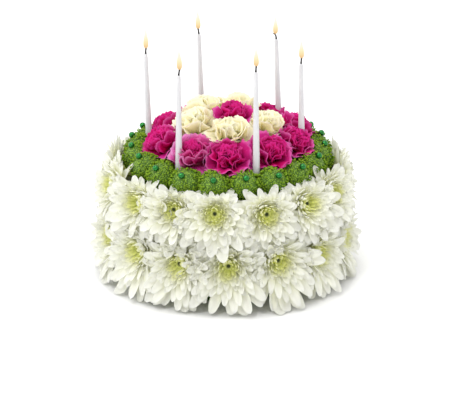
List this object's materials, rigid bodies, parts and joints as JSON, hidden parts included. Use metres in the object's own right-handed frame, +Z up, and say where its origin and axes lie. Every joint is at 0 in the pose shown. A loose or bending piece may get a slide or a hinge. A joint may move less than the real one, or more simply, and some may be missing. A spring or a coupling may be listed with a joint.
{
  "type": "floral cake with candles",
  "caption": "Cake-shaped arrangement of fresh flowers: white mums clothe the side, green poms with pearl pins edge the top, pink and cream carnations dome over it, with lit white tapers.",
  "frame": {"origin": "centre of the flat base, on the cake's axis, on the surface it stands on", "axes": "+Z up along the cake's axis, -Y towards the front that the picture shows, +X to the right as seen from the front"},
  "size_m": [0.2562, 0.2573, 0.2224],
  "materials": {
    "foam": "matt, damp",
    "white_petal": "matt petal",
    "green_floret": "matt petal",
    "pink_petal": "matt petal",
    "cream_petal": "matt petal",
    "wax": "satin wax"
  },
  "bodies": {
    "root": {"flower_body": "foam", "candle_1": "wax", "candle_2": "wax", "candle_3": "wax", "candle_4": "wax", "candle_5": "wax", "candle_6": "wax", "mum_lower_01": "white_petal", "mum_lower_02": "white_petal", "mum_lower_03": "white_petal", "mum_lower_04": "white_petal", "mum_lower_05": "white_petal", "mum_lower_06": "white_petal", "mum_lower_07": "white_petal", "mum_lower_08": "white_petal", "mum_lower_09": "white_petal", "mum_lower_10": "white_petal", "mum_lower_11": "white_petal", "mum_lower_12": "white_petal", "mum_lower_13": "white_petal", "mum_lower_14": "white_petal", "mum_lower_15": "white_petal", "mum_upper_01": "white_petal", "mum_upper_02": "white_petal", "mum_upper_03": "white_petal", "mum_upper_04": "white_petal", "mum_upper_05": "white_petal", "mum_upper_06": "white_petal", "mum_upper_07": "white_petal", "mum_upper_08": "white_petal", "mum_upper_09": "white_petal", "mum_upper_10": "white_petal", "mum_upper_11": "white_petal", "mum_upper_12": "white_petal", "mum_upper_13": "white_petal", "mum_upper_14": "white_petal", "mum_upper_15": "white_petal", "pom_arc_1": "green_floret", "pom_arc_2": "green_floret", "pom_arc_3": "green_floret", "pom_arc_4": "green_floret", "pom_arc_5": "green_floret", "carnation_pink_01": "pink_petal", "carnation_pink_02": "pink_petal", "carnation_pink_03": "pink_petal", "carnation_pink_04": "pink_petal", "carnation_pink_05": "pink_petal", "carnation_pink_06": "pink_petal", "carnation_pink_07": "pink_petal", "carnation_pink_08": "pink_petal", "carnation_pink_09": "pink_petal", "carnation_pink_10": "pink_petal", "carnation_pink_centre": "pink_petal", "carnation_cream_1": "cream_petal", "carnation_cream_2": "cream_petal", "carnation_cream_3": "cream_petal", "carnation_cream_4": "cream_petal", "carnation_cream_5": "cream_petal"}
  },
  "joints": []
}
